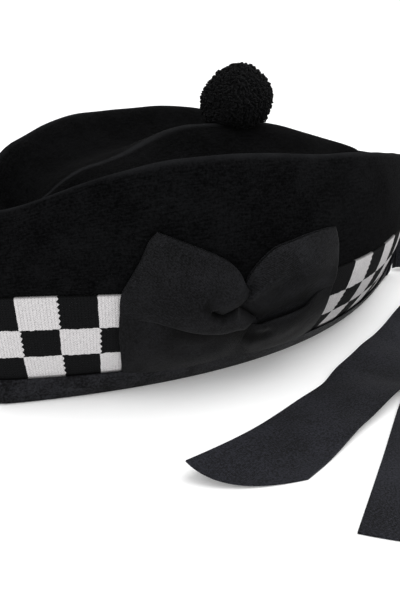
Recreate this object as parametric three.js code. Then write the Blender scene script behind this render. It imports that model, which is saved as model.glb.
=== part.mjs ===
// Fore-and-aft knitted cap: folded wool crown, diced band, ribbon binding, pompom, side bow and tails.
// Millimetres, +Z up, the front point towards -X. The near side, with the bow, is -Y.
// The pompom stands over x = 0, y = 0 until the whole group is centred on its footprint at the end.
import * as THREE from 'three';
import { mergeVertices } from 'three/addons/utils/BufferGeometryUtils.js';

// Driving sizes of the cap
const frontReach = 155;        // pompom axis to the front point, at the top of the band
const backReach = 142;         // pompom axis to the back point, at the top of the band
const bellyWidth = 157;        // widest part, just above the band
const foldHeight = 113.6;      // highest part of the fold's lips above the surface
const bandTopHeight = 55;      // top of the diced band
const bindingHeight = 13.5;    // top of the ribbon binding outside
const bindingInside = 10.5;    // top of the ribbon binding inside
const grooveDepth = 14;        // valleys of the fold below its lips
const ridgeSwing = 6;          // how far the ridge runs below and above the lips' line
const pointRound = 0.13;        // roundness of the two points in plan

// Driving thicknesses and clearances
const crownWall = 2.8;
const bandWall = 2.4;
const ribbonWall = 1;
const seamGap = 0.3;           // left between pieces that touch
const pointWall = 1.3;         // wall at the points, as a multiple of the wall beside them

// Driving sizes of the trims
const pompomRadius = 18.4;
const pompomSquash = 0.95;     // its height as a share of its width
const pompomSink = 6.3;        // how far the ridge presses into the ball
const pompomBack = 2.5;        // how far its middle lies behind the middle of the cap
const pompomAside = 3;         // how far its middle lies beyond the ridge
const pompomDroop = 1.5;       // how far its wool hangs below the ridge
const loopDepth = 0.09;        // depth between the pompom's wool loops, share of its radius
const loopCount = 90;
const pompomSeat = 0.6;
const bowSpan = 124;           // along the cap
const bowRise = 76;            // up the cap
const bowX = -50;              // where the bow is gathered
const bowHeight = 40;
const bowPuff = 6;             // how far a loop stands open
const bowGather = 0.02;        // where a loop starts, as a share of its length
const bowFold = 0.34;          // share of a loop's ribbon steps that turn round its end
const puffAtFold = 0.35;       // how far a loop stands open at its ends, as a share of bowPuff
const loopShare = 0.4;         // a loop's length as a share of bowSpan
const ribbonWidth = 38;        // of the tails
const tailRun = 270;           // how far a tail lies forward from the back point
const tailSpread = 190;        // how far the lower tail's end lies beside the cap
const tabAngle = 25;           // how far the tab wraps each side of the back point, in degrees
const tabHeight = 33;
const tabFoot = 3.5;
const curlStart = 0.846;       // where a tail's end starts to lift, as a share of its rows
const curlPower = 1.77;        // how late that lift comes

// Mesh fineness
const columns = 64;
const loopSteps = 9;
const loopRows = 6;
const tabSteps = 16;
const tailSteps = 34;

// Sections of the band: up is a share of bandTopHeight, width of bellyWidth, front and back of the reaches.
// fullness is the power of the boat-shaped plan, lean how much sharper (-) the front is than the back.
const bandRows = [
  { up: 0.0, width: 0.527, front: 0.945, back: 0.933, fullness: 2.2, lean: 0.1 },
  { up: bindingHeight / bandTopHeight, width: 0.703, front: 0.963, back: 0.954, fullness: 2.24, lean: 0 },
  { up: 0.456, width: 0.819, front: 0.977, back: 0.971, fullness: 2.28, lean: -0.1 },
  { up: 0.704, width: 0.917, front: 0.988, back: 0.985, fullness: 2.32, lean: -0.25 },
  { up: 1.0, width: 0.98, front: 1.0, back: 1.0, fullness: 2.36, lean: -0.38 },
];

// Sections of the crown's side: up is a share of the height from the band to the fold's lips.
const crownRows = [
  { up: 0.3, width: 1.0, front: 1.0, back: 0.993, fullness: 2.2, lean: -0.25 },
  { up: 0.6, width: 0.987, front: 0.997, back: 0.967, fullness: 2.0, lean: -0.15 },
  { up: 0.81, width: 0.958, front: 0.988, back: 0.94, fullness: 1.85, lean: -0.05 },
  { up: 0.94, width: 0.925, front: 0.975, back: 0.92, fullness: 1.75, lean: 0 },
  { up: 1.0, width: 0.886, front: 0.96, back: 0.9, fullness: 1.7, lean: 0.05 },
];

// Sections of the folded top, from the lips to the ridge: dip is a share of grooveDepth and
// ridge says how much of the ridge's own rise and fall the section takes.
const topRows = [
  { width: 0.825, dip: 0.1, ridge: 0, front: 0.935, back: 0.875 },
  { width: 0.69, dip: 0.55, ridge: 0, front: 0.905, back: 0.845 },
  { width: 0.484, dip: 1.0, ridge: 0.05, front: 0.87, back: 0.8 },
  { width: 0.28, dip: 0.72, ridge: 0.35, front: 0.84, back: 0.76 },
  { width: 0.115, dip: 0.2, ridge: 0.85, front: 0.81, back: 0.725 },
  { width: 0.0, dip: 0.0, ridge: 1, front: 0.79, back: 0.7 },
];

// Heights along the cap, from the front point (-1) to the back point (1): near and far are the lips on
// the two sides, as shares of the crown's height over the band, and ridge is a share of ridgeSwing, up
// or down from the mean of the lips.
const topLine = [
  { along: -1, near: 0.596, far: 0.596, ridge: -0.49 },
  { along: -0.8, near: 0.875, far: 0.945, ridge: -1.08 },
  { along: -0.6, near: 1, far: 0.989, ridge: -1.62 },
  { along: -0.45, near: 1.033, far: 1.033, ridge: -0.83 },
  { along: -0.25, near: 1.009, far: 1.045, ridge: 0.26 },
  { along: -0.05, near: 0.951, far: 1.025, ridge: 0.34 },
  { along: 0.15, near: 0.899, far: 0.996, ridge: 0.59 },
  { along: 0.35, near: 0.806, far: 0.916, ridge: 0.84 },
  { along: 0.6, near: 0.698, far: 0.719, ridge: 0.9 },
  { along: 0.8, near: 0.57, far: 0.519, ridge: 1.57 },
  { along: 1, near: 0.4, far: 0.4, ridge: 2.6 },
];

// Curves that fan out from the bow's gather, in shares of bowSpan and bowRise. arch lifts the
// middle of the curve, and early moves that lift towards the gather.
const bowCurves = {
  frontTop: { rootX: -0.035, rootUp: 0.17, endX: -0.362, endUp: 0.59, arch: 0.105, early: 0.58 },
  frontMiddle: { rootX: -0.005, rootUp: -0.03, endX: -0.435, endUp: 0.04, arch: -0.06, early: 0.8 },
  frontBottom: { rootX: 0.0, rootUp: -0.28, endX: -0.413, endUp: -0.27, arch: -0.05, early: 1 },
  backTop: { rootX: -0.03, rootUp: 0.138, endX: 0.335, endUp: 0.5, arch: 0.197, early: 0.5 },
  backMiddle: { rootX: 0.02, rootUp: -0.03, endX: 0.35, endUp: 0.09, arch: 0, early: 1 },
  backBottom: { rootX: 0.025, rootUp: -0.28, endX: 0.37, endUp: -0.26, arch: -0.02, early: 1 },
};

// Each loop of the bow lies between two of the curves.
const bowLoops = [
  { name: 'bow_upper_front', above: 'frontTop', below: 'frontMiddle' },
  { name: 'bow_lower_front', above: 'frontMiddle', below: 'frontBottom' },
  { name: 'bow_upper_back', above: 'backTop', below: 'backMiddle' },
  { name: 'bow_lower_back', above: 'backMiddle', below: 'backBottom' },
];

// Routes of the tails from where they leave the tab. run goes forward beside the cap, as a share of
// tailRun, and out goes away from it, as a share of tailSpread. turn is the angle of the ribbon's
// width from flat, in degrees, and lift the height of its lower edge, in thicknesses of ribbon.
const tailUpper = [
  { run: 0, out: 0.006, turn: 88, lift: 2.5 },
  { run: -0.035, out: 0.032, turn: 84, lift: 1.8 },
  { run: -0.064, out: 0.089, turn: 70, lift: 1.5 },
  { run: -0.072, out: 0.174, turn: 50, lift: 1.4 },
  { run: -0.031, out: 0.247, turn: 26, lift: 1.4 },
  { run: 0.058, out: 0.284, turn: 6, lift: 1.5 },
  { run: 0.169, out: 0.335, turn: 0, lift: 1.4 },
  { run: 0.302, out: 0.412, turn: 0, lift: 1.4 },
  { run: 0.421, out: 0.47, turn: 0, lift: 1.4 },
  { run: 0.502, out: 0.502, turn: 0, lift: 1.2 },
  { run: 0.584, out: 0.544, turn: 10, lift: 0.3 },
  { run: 0.68, out: 0.57, turn: 5.5, lift: 0 },
  { run: 0.825, out: 0.62, turn: 0, lift: 0 },
  { run: 1.002, out: 0.668, turn: 0, lift: 0 },
];
const tailLower = [
  { run: 0, out: -0.007, turn: 90, lift: 1 },
  { run: -0.046, out: -0.003, turn: 88, lift: 0.6 },
  { run: -0.098, out: 0.047, turn: 76, lift: 0.3 },
  { run: -0.135, out: 0.163, turn: 50, lift: 0 },
  { run: -0.098, out: 0.284, turn: 22, lift: 0 },
  { run: 0.006, out: 0.379, turn: 4, lift: 0 },
  { run: 0.147, out: 0.463, turn: 0, lift: 0 },
  { run: 0.332, out: 0.589, turn: 0, lift: 0 },
  { run: 0.51, out: 0.721, turn: 0, lift: 0 },
  { run: 0.687, out: 0.867, turn: 0, lift: 0 },
  { run: 0.863, out: 1.009, turn: 0, lift: 0 },
];

// The cut ends of the tails, as shares of ribbonWidth: slant is how much shorter the outer edge is,
// bow how far the middle of the cut stands out, and curl how far the inner corner lifts.
const tails = [
  { name: 'tail_upper', route: tailUpper, slant: 0.8, bow: 0.22, curl: 0.25 },
  { name: 'tail_lower', route: tailLower, slant: 0.12, bow: 0.03, curl: 0 },
];

// Worked out from the driving sizes
const bellyHalf = bellyWidth / 2;
const crownRise = foldHeight - bandTopHeight;
const bowStand = ribbonWall / 2 + 2 * seamGap; // the back of a bow loop, off the wall
const sideRows = [
  ...bandRows.map((row) => ({ ...row, z: row.up * bandTopHeight })),
  ...crownRows.map((row) => ({ ...row, z: bandTopHeight + row.up * crownRise })),
];

const mix = THREE.MathUtils.lerp;

// Reads a table at a value of one column, going straight from row to row.
function readTable(table, key, value, column) {
  let k = 1;
  while (k < table.length - 1 && table[k][key] < value) k += 1;
  const a = table[k - 1];
  const b = table[k];
  const share = THREE.MathUtils.clamp((value - a[key]) / (b[key] - a[key]), 0, 1);
  return mix(a[column], b[column], share);
}

// Smooth reading of a table, with no kinks at its rows.
function readSmooth(table, key, value, column) {
  const reach = 0.09;
  const near = [-1, -0.5, 0, 0.5, 1].map((step) => readTable(table, key, value + step * reach, column));
  return near.reduce((sum, item) => sum + item, 0) / near.length;
}

// Boat-shaped plan: 1 in the middle and 0 at the points, which are a little round.
function planShape(sine, power) {
  return Math.sqrt((sine ** (2 * power) + pointRound * sine * sine) / (1 + pointRound));
}

// A section of the cap as numbers in mm, at any height of its side.
function sideSection(z) {
  const read = (column) => readTable(sideRows, 'z', z, column);
  return {
    z,
    half: bellyHalf * read('width'),
    front: frontReach * read('front'),
    back: backReach * read('back'),
    fullness: read('fullness'),
    lean: read('lean'),
    dip: 0,
    ridge: 0,
    spread: 1,
  };
}

// A section made smaller all round by a wall measured level.
function insetSection(section, wall) {
  return {
    ...section,
    half: section.half - wall,
    front: section.front - wall * pointWall,
    back: section.back - wall * pointWall,
  };
}

// The wall's lean from upright at a height, as the factor from its thickness to its level width.
function levelFactor(z) {
  const step = 3;
  const low = Math.max(z - step, 0);
  const high = Math.min(z + step, bandTopHeight);
  const slope = (sideSection(high).half - sideSection(low).half) / (high - low);
  return Math.sqrt(1 + slope * slope);
}

// The point of a section at an angle: 0 is the back point, PI the front point.
function sectionPoint(section, angle) {
  const along = Math.cos(angle);
  const sine = Math.abs(Math.sin(angle));
  const half = (section.front + section.back) / 2;
  const middle = (section.back - section.front) / 2;
  const shape = planShape(sine, section.fullness + section.lean * along);
  const side = Math.sin(angle) < 0 ? -1 : 1;
  const over = Math.max(section.z - bandTopHeight, 0);
  const nearRise = readSmooth(topLine, 'along', along, 'near');
  const farRise = readSmooth(topLine, 'along', along, 'far');
  const lipRise = mix((nearRise + farRise) / 2, side < 0 ? nearRise : farRise, section.spread);
  const depth = mix(0.35, 1, sine) * grooveDepth * section.dip;
  const ridgeRise = ridgeSwing * readSmooth(topLine, 'along', along, 'ridge');
  return new THREE.Vector3(
    middle + half * along,
    side * section.half * shape,
    section.z + over * (lipRise - 1) - depth + section.ridge * ridgeRise * mix(0.35, 1, sine),
  );
}

// One closed ring of points round the cap.
function sectionRing(section) {
  return Array.from({ length: columns }, (_, k) => sectionPoint(section, (2 * Math.PI * k) / columns));
}

// Splits four corners along their shorter diagonal, so that walls that lie face to face fold alike.
function splitQuad([a, b, c, d], [pa, pb, pc, pd]) {
  if (pa.distanceTo(pc) <= pb.distanceTo(pd)) return [[a, b, c], [a, c, d]];
  return [[a, b, d], [b, c, d]];
}

// A closed mesh from rows of points. Each row is joined to the next and closes on itself.
function skinGeometry(rows, { rowsClose = false, flip = false } = {}) {
  const width = rows[0].length;
  const points = rows.flat();
  const positions = points.flatMap((point) => [point.x, point.y, point.z]);
  const faces = [];
  const lastRow = rowsClose ? rows.length : rows.length - 1;
  for (let r = 0; r < lastRow; r += 1) {
    for (let k = 0; k < width; k += 1) {
      const a = r * width + k;
      const b = r * width + ((k + 1) % width);
      const c = ((r + 1) % rows.length) * width + ((k + 1) % width);
      const d = ((r + 1) % rows.length) * width + k;
      const quad = flip ? [d, c, b, a] : [a, b, c, d];
      faces.push(...splitQuad(quad, quad.map((corner) => points[corner])));
    }
  }
  return closedGeometry(positions, faces);
}

// Merges points that coincide and drops the faces that this leaves without an area.
function closedGeometry(positions, faces) {
  const loose = new THREE.BufferGeometry();
  loose.setAttribute('position', new THREE.Float32BufferAttribute(positions, 3));
  loose.setIndex(faces.flat());
  const merged = mergeVertices(loose, 1e-3);
  const index = merged.index.array;
  const kept = [];
  for (let k = 0; k < index.length; k += 3) {
    const [a, b, c] = [index[k], index[k + 1], index[k + 2]];
    if (a !== b && b !== c && c !== a) kept.push(a, b, c);
  }
  merged.setIndex(kept);
  merged.computeVertexNormals();
  return merged;
}

// A sheet with a thickness: surface(u, v) gives its middle, and edges are square.
function sheetGeometry(surface, uSteps, vSteps, thickness) {
  const step = 1e-3;
  const onSheet = (u, v, side) => {
    const u0 = Math.min(u, 1 - step);
    const v0 = Math.min(v, 1 - step);
    const point = surface(u, v);
    const base = surface(u0, v0);
    const alongU = surface(u0 + step, v0).sub(base);
    const alongV = surface(u0, v0 + step).sub(base);
    const normal = alongU.cross(alongV).normalize();
    return point.addScaledVector(normal, (side * thickness) / 2);
  };
  const rows = [];
  for (let i = 0; i <= uSteps; i += 1) {
    const row = [];
    for (let j = 0; j <= vSteps; j += 1) row.push(onSheet(i / uSteps, j / vSteps, 1));
    for (let j = vSteps; j >= 0; j -= 1) row.push(onSheet(i / uSteps, j / vSteps, -1));
    rows.push(row);
  }
  const skin = skinRowsOpen(rows);
  return closedGeometry(skin.positions, skin.faces);
}

// Faces between rows, and the two ends closed by strips between a row's upper and lower points.
function skinRowsOpen(rows) {
  const width = rows[0].length;
  const positions = rows.flat().flatMap((point) => [point.x, point.y, point.z]);
  const faces = [];
  for (let r = 0; r < rows.length - 1; r += 1) {
    for (let k = 0; k < width; k += 1) {
      const a = r * width + k;
      const b = r * width + ((k + 1) % width);
      faces.push([a, a + width, b + width], [a, b + width, b]);
    }
  }
  const last = (rows.length - 1) * width;
  for (let k = 0; k < width / 2 - 1; k += 1) {
    const under = width - 1 - k;
    faces.push([k, k + 1, under], [k + 1, under - 1, under]);
    faces.push([last + k, last + under, last + k + 1], [last + k + 1, last + under, last + under - 1]);
  }
  return { positions, faces };
}

const group = new THREE.Group();

function addPiece(name, geometry, color, roughness) {
  const material = new THREE.MeshStandardMaterial({ color, roughness, metalness: 0 });
  const mesh = new THREE.Mesh(geometry, material);
  mesh.name = name;
  group.add(mesh);
  return mesh;
}

const woolColor = 0x17171a;
const diceColor = 0xd8d6d0;
const ribbonColor = 0x232428;

// Offsets a half section inwards, square to its line, for the inside of the crown.
function innerSections(sections, wall) {
  return sections.map((section, k) => {
    const before = sections[Math.max(k - 1, 0)];
    const after = sections[Math.min(k + 1, sections.length - 1)];
    const rise = (after.z - after.dip * grooveDepth) - (before.z - before.dip * grooveDepth);
    const run = after.half - before.half;
    const length = Math.hypot(rise, run);
    const isRidge = k === sections.length - 1;
    const inward = isRidge ? 0 : (wall * rise) / length;
    const upward = isRidge ? -wall : (wall * run) / length;
    return {
      ...section,
      z: section.z + upward,
      half: Math.max(section.half - inward, 0),
      front: section.front - wall * pointWall,
      back: section.back - wall * pointWall,
    };
  });
}

function buildCrown() {
  const foot = sideSection(bandTopHeight + seamGap / 2);
  const sides = crownRows.map((row) => sideSection(bandTopHeight + row.up * crownRise));
  const lip = sides[sides.length - 1];
  const tops = topRows.map((row) => ({
    ...lip,
    half: bellyHalf * row.width,
    front: frontReach * row.front,
    back: backReach * row.back,
    dip: row.dip,
    ridge: row.ridge,
    spread: row.width / crownRows[crownRows.length - 1].width,
  }));
  const outer = [foot, ...sides, ...tops];
  const inner = innerSections(outer, crownWall);
  inner[0].z = foot.z;
  const rows = [...outer.map(sectionRing).reverse(), ...inner.map(sectionRing)];
  return skinGeometry(rows, { flip: true });
}

function buildBand() {
  const foot = ribbonWall + seamGap;
  const heights = [foot, ...bandRows.slice(1, -1).map((row) => row.up * bandTopHeight), bandTopHeight - seamGap / 2];
  const outer = heights.map(sideSection);
  const inner = heights.map((z) => insetSection(sideSection(z), bandWall * levelFactor(z)));
  const rows = [...outer, ...inner.reverse()].map(sectionRing);
  return skinGeometry(rows, { rowsClose: true });
}

// The binding's U section, as a height and a distance inwards from the band's outside.
function buildBinding() {
  const outside = seamGap + ribbonWall;
  const inside = bandWall + seamGap;
  const section = [
    { z: bindingHeight, inward: -outside },
    { z: bindingHeight, inward: -seamGap },
    { z: ribbonWall, inward: -seamGap },
    { z: ribbonWall, inward: inside },
    { z: bindingInside, inward: inside },
    { z: bindingInside, inward: inside + ribbonWall },
    { z: 0, inward: inside + ribbonWall },
    { z: 0, inward: -outside },
  ];
  const rows = section.map(({ z, inward }) => {
    return sectionRing(insetSection(sideSection(z), inward * levelFactor(z)));
  });
  return skinGeometry(rows, { rowsClose: true });
}

// A ball of wool loops: each loop is a small dome on the ball, and its foot is pressed on the ridge.
function buildPompom(crown) {
  const ball = new THREE.IcosahedronGeometry(1, 7);
  ball.deleteAttribute('normal');
  ball.deleteAttribute('uv');
  const geometry = mergeVertices(ball, 1e-4);
  const loops = Array.from({ length: loopCount }, (_, k) => {
    const up = 1 - (2 * k + 1) / loopCount;
    const turn = k * Math.PI * (3 - Math.sqrt(5));
    const level = Math.sqrt(1 - up * up);
    return new THREE.Vector3(level * Math.cos(turn), level * Math.sin(turn), up);
  });
  const spread = Math.sqrt(4 / loopCount);
  const down = new THREE.Vector3(0, 0, -1);
  const caster = new THREE.Raycaster();
  crown.updateMatrixWorld(true);
  const heightAt = (x, y) => {
    caster.set(new THREE.Vector3(x, y, foldHeight * 2), down);
    const hits = caster.intersectObject(crown);
    return hits.length > 0 ? hits[0].point.z : 0;
  };
  const ridgeZ = heightAt(pompomBack, 0);
  const centre = new THREE.Vector3(pompomBack, pompomAside, ridgeZ + pompomRadius * pompomSquash - pompomSink);
  const places = geometry.attributes.position;
  for (let k = 0; k < places.count; k += 1) {
    const way = new THREE.Vector3().fromBufferAttribute(places, k).normalize();
    const nearest = Math.min(...loops.map((loop) => way.angleTo(loop)));
    const dome = Math.sqrt(Math.max(1 - (nearest / spread) ** 2, 0));
    const radius = pompomRadius * (1 - loopDepth + loopDepth * dome);
    const point = way.clone().multiplyScalar(radius);
    point.z *= pompomSquash;
    point.add(centre);
    point.z = Math.max(point.z, heightAt(point.x, point.y) + pompomSeat, ridgeZ - pompomDroop);
    places.setXYZ(k, point.x, point.y, point.z);
  }
  geometry.computeVertexNormals();
  return geometry;
}

// A point beside the near wall of the cap, a distance out from its surface.
function besideWall(x, z, out) {
  const onWall = (atX, atZ) => {
    const section = sideSection(atZ);
    const half = (section.front + section.back) / 2;
    const middle = (section.back - section.front) / 2;
    const along = THREE.MathUtils.clamp((atX - middle) / half, -1, 1);
    return sectionPoint(section, -Math.acos(along));
  };
  const step = 0.5;
  const point = onWall(x, z);
  const ahead = onWall(x + step, z).sub(onWall(x - step, z));
  const upwards = onWall(x, z + 4).sub(onWall(x, Math.max(z - 4, 0)));
  const normal = ahead.cross(upwards).normalize();
  return point.addScaledVector(normal, out);
}

function bowCurve(curve, u) {
  const bulge = Math.sin(Math.PI * u ** curve.early) * curve.arch;
  return {
    x: bowX + bowSpan * mix(curve.rootX, curve.endX, u),
    z: bowHeight + bowRise * (mix(curve.rootUp, curve.endUp, u) + bulge),
  };
}

// A loop of the bow: ribbon that runs out along the wall, turns over in a half circle and comes
// back to the gather in front of itself.
function buildBowLoop({ above, below }) {
  const foldStart = (1 - bowFold) / 2;
  const foldReach = (ribbonWall + bowPuff * puffAtFold) / 2 / (bowSpan * loopShare);
  const surface = (u, v) => {
    const share = THREE.MathUtils.clamp((u - foldStart) / bowFold, 0, 1);
    const straight = Math.min(u, 1 - u, foldStart) / foldStart;
    const reach = straight * (1 - foldReach) + foldReach * Math.sin(Math.PI * share);
    const turn = 0.5 - 0.5 * Math.cos(Math.PI * share);
    const low = bowCurve(bowCurves[below], mix(bowGather, 1, reach));
    const high = bowCurve(bowCurves[above], mix(bowGather, 1, reach));
    const gapShare = (1.2 * seamGap + ribbonWall / 2) / Math.max(high.z - low.z, 1);
    const across = mix(gapShare, 1 - gapShare, v);
    const swell = puffAtFold + (1 - puffAtFold) * Math.sin(Math.PI * straight);
    const crown = Math.sqrt(Math.sin(Math.PI * mix(0.12, 0.88, v)));
    const open = (bowPuff * swell * crown + ribbonWall * 1.3) * turn;
    return besideWall(mix(low.x, high.x, across), mix(low.z, high.z, across), bowStand + open);
  };
  return sheetGeometry(surface, loopSteps * 2, loopRows, ribbonWall);
}

// The middle of the tab, which follows the outside of the band round the back point.
function tabSurface(u, v) {
  const stand = seamGap + ribbonWall + seamGap + ribbonWall / 2;
  const z = mix(tabFoot, tabFoot + tabHeight, v);
  const angle = THREE.MathUtils.degToRad(mix(-tabAngle, tabAngle, u));
  return sectionPoint(insetSection(sideSection(z), -stand * levelFactor(z)), angle);
}

// A tail: ribbon carried along its route, its width turned from upright to flat.
function buildTail({ route, slant, bow, curl }) {
  const root = tabSurface(0.5, 1).x + ribbonWall / 2 + seamGap;
  const middle = new THREE.CatmullRomCurve3(route.map(({ run, out }) => {
    return new THREE.Vector3(root - run * tailRun, -out * tailSpread, 0);
  }));
  const read = (u, key) => {
    const place = u * (route.length - 1);
    const k = Math.min(Math.floor(place), route.length - 2);
    const share = place - k;
    return mix(route[k][key], route[k + 1][key], share * share * (3 - 2 * share));
  };
  const step = 0.02;
  const endRate = middle.getPoint(1).distanceTo(middle.getPoint(1 - step)) / step;
  const surface = (start, v) => {
    const cut = (slant * v + bow * (2 * v - 1) ** 2) * ribbonWidth;
    const u = start * (1 - cut / endRate);
    const point = middle.getPoint(u);
    const ahead = middle.getTangent(u);
    const side = new THREE.Vector3(ahead.y, -ahead.x, 0).normalize();
    const turn = THREE.MathUtils.degToRad(read(u, 'turn'));
    const across = (v - 0.5) * ribbonWidth;
    const rise = (across + ribbonWidth / 2) * Math.sin(turn);
    const atEnd = Math.max((u - curlStart) / (1 - curlStart), 0) ** curlPower;
    const curled = curl * ribbonWidth * atEnd * (1 - v) ** 2;
    point.addScaledVector(side, -across * Math.cos(turn));
    point.z = (read(u, 'lift') + 0.5) * ribbonWall + rise + curled;
    return point;
  };
  return sheetGeometry(surface, tailSteps, 4, ribbonWall);
}

const crown = addPiece('crown', buildCrown(), woolColor, 0.95);
addPiece('dice_band', buildBand(), diceColor, 0.95);
addPiece('binding', buildBinding(), ribbonColor, 0.6);
addPiece('pompom', buildPompom(crown), woolColor, 1);
for (const loop of bowLoops) addPiece(loop.name, buildBowLoop(loop), ribbonColor, 0.55);
addPiece('tail_tab', sheetGeometry(tabSurface, tabSteps, 3, ribbonWall), ribbonColor, 0.6);
for (const tail of tails) addPiece(tail.name, buildTail(tail), ribbonColor, 0.6);

// The origin is the middle of the footprint.
const bounds = new THREE.Box3().setFromObject(group);
const middle = bounds.getCenter(new THREE.Vector3());
group.position.set(-middle.x, -middle.y, 0);
group.updateMatrixWorld(true);

export default group;
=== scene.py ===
import math

import bmesh
import bpy
import numpy as np
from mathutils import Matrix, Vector


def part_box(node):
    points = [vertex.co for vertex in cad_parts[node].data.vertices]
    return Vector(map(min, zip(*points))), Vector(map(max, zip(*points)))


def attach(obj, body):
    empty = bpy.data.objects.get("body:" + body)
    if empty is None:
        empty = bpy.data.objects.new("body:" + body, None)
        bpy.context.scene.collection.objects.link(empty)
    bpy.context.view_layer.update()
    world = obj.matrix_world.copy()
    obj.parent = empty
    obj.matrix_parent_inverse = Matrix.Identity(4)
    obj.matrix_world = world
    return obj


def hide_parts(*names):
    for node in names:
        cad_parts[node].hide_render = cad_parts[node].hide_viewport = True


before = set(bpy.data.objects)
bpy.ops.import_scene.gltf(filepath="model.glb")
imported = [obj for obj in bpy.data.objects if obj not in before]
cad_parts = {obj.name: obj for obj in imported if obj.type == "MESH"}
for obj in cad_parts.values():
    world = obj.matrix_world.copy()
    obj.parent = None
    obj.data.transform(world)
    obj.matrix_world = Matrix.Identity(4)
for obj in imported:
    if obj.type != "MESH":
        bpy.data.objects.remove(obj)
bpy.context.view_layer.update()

# Values are in millimetres from the point of the surface under the middle of the ridge: the front
# point of the cap is towards -X, the side with the bow is -Y and up is +Z. place() turns them into
# metres.

crownLow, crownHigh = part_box("crown")
pompomLow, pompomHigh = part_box("pompom")

cap = {
    "frontReach": 155,
    "backReach": 142,
    "bellyWidth": 157,
    "grooveDepth": 14,      # valleys of the fold below its lips
    "ridgeSwing": 6,
    "foldAtPoints": 0.35,   # depth of the fold at the two points, as a share of that in the middle
    "topRounding": 0.09,    # how far along the cap the corners of its top line are rounded
    "pointRound": 0.13,     # roundness of the two points in plan
    "bandTop": 55,
    "crownWall": 2.8,
    "bandWall": 2.4,
    "pointWall": 1.3,       # thickness of a wall at the two points, as a share of that at the sides
    "seamGap": 0.3,
}
mergeGap = 1e-7             # metres
sharpAngle = 55             # degrees
unit = (crownHigh.x - crownLow.x) / (cap["frontReach"] + cap["backReach"])
origin = np.array([
    crownLow.x + cap["frontReach"] * unit,
    (crownLow.y + crownHigh.y) / 2,
    0,
])


def place(points):
    return points * unit + origin


# A curve through values at knots: cubic pieces whose slopes are the values' own gradient.
def smoothRead(knots, values, at):
    slopes = np.gradient(values, knots)
    k = np.clip(np.searchsorted(knots, at, side="right") - 1, 0, len(knots) - 2)
    width = knots[k + 1] - knots[k]
    t = np.clip((at - knots[k]) / width, 0, 1)
    bend = t * t * (3 - 2 * t)
    rise = (t - 2 * t * t + t ** 3) * slopes[k] + (t ** 3 - t * t) * slopes[k + 1]
    return values[k] * (1 - bend) + values[k + 1] * bend + rise * width


def smoothStep(low, high, value):
    t = np.clip((value - low) / (high - low), 0, 1)
    return t * t * (3 - 2 * t)


def mix(a, b, share):
    return a + (b - a) * share


def unitVectors(vectors):
    return vectors / np.maximum(np.linalg.norm(vectors, axis=-1, keepdims=True), 1e-9)


# Distances along lines of points from each line's first point. The last axis holds the coordinates
# and the one before it runs along the lines.
def distances(points):
    steps = np.linalg.norm(np.diff(points, axis=-2), axis=-1)
    return np.concatenate([np.zeros_like(steps[..., :1]), np.cumsum(steps, axis=-1)], axis=-1)


# Even waves in random directions, added up: a gentle unevenness between about -1 and 1.
def ripple(points, wavelength, seed, count=14):
    random = np.random.default_rng(seed)
    ways = unitVectors(random.normal(size=(count, 3)))
    lengths = wavelength * random.uniform(0.7, 1.5, count)
    phases = random.uniform(0, 2 * math.pi, count)
    waves = np.sin(points @ (ways / lengths[:, None] * 2 * math.pi).T + phases)
    return waves.sum(axis=-1) / math.sqrt(count) * 0.7


# Rows up the side, over the lip and down and up the fold: height, then width, front and back as shares
# of bellyWidth, frontReach and backReach, fullness of the plan, its lean, dip and ridge of the fold.
sectionRows = np.array([
    (0.0, 0.527, 0.945, 0.933, 2.20, 0.10, 0, 0),
    (13.5, 0.703, 0.963, 0.954, 2.24, 0.00, 0, 0),
    (25.1, 0.819, 0.977, 0.971, 2.28, -0.10, 0, 0),
    (38.7, 0.917, 0.988, 0.985, 2.32, -0.25, 0, 0),
    (55.0, 0.980, 1.000, 1.000, 2.36, -0.38, 0, 0),
    (72.6, 1.000, 1.000, 0.993, 2.20, -0.25, 0, 0),
    (90.2, 0.987, 0.997, 0.967, 2.00, -0.15, 0, 0),
    (102.5, 0.958, 0.988, 0.940, 1.85, -0.05, 0, 0),
    (110.1, 0.925, 0.975, 0.920, 1.75, 0.00, 0, 0),
    (113.6, 0.886, 0.960, 0.900, 1.70, 0.05, 0, 0),
    (113.6, 0.825, 0.935, 0.875, 1.70, 0.05, 0.10, 0),
    (113.6, 0.690, 0.905, 0.845, 1.70, 0.05, 0.55, 0),
    (113.6, 0.484, 0.870, 0.800, 1.70, 0.05, 1.00, 0.05),
    (113.6, 0.280, 0.840, 0.760, 1.70, 0.05, 0.72, 0.35),
    (113.6, 0.115, 0.810, 0.725, 1.70, 0.05, 0.20, 0.85),
    (113.6, 0.000, 0.790, 0.700, 1.70, 0.05, 0.00, 1.00),
    (113.6, -0.115, 0.810, 0.725, 1.70, 0.05, 0.20, 0.85),
])
lipRow = 9
profile = np.stack([
    sectionRows[:, 1] * cap["bellyWidth"] / 2,
    sectionRows[:, 0] - sectionRows[:, 6] * cap["grooveDepth"],
], axis=1)
profileLengths = distances(profile)
lipLength = profileLengths[lipRow]
ridgeLength = profileLengths[-2]
# Along the cap from the front point (-1) to the back point (1): the heights of the near and the far
# lip as shares of the crown's rise over the band, and the ridge's as a share of ridgeSwing.
topLine = np.array([
    (-1.00, 0.596, 0.596, -0.49),
    (-0.80, 0.875, 0.945, -1.08),
    (-0.60, 1.000, 0.989, -1.62),
    (-0.45, 1.033, 1.033, -0.83),
    (-0.25, 1.009, 1.045, 0.26),
    (-0.05, 0.951, 1.025, 0.34),
    (0.15, 0.899, 0.996, 0.59),
    (0.35, 0.806, 0.916, 0.84),
    (0.60, 0.698, 0.719, 0.90),
    (0.80, 0.570, 0.519, 1.57),
    (1.00, 0.400, 0.400, 2.60),
])


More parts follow.
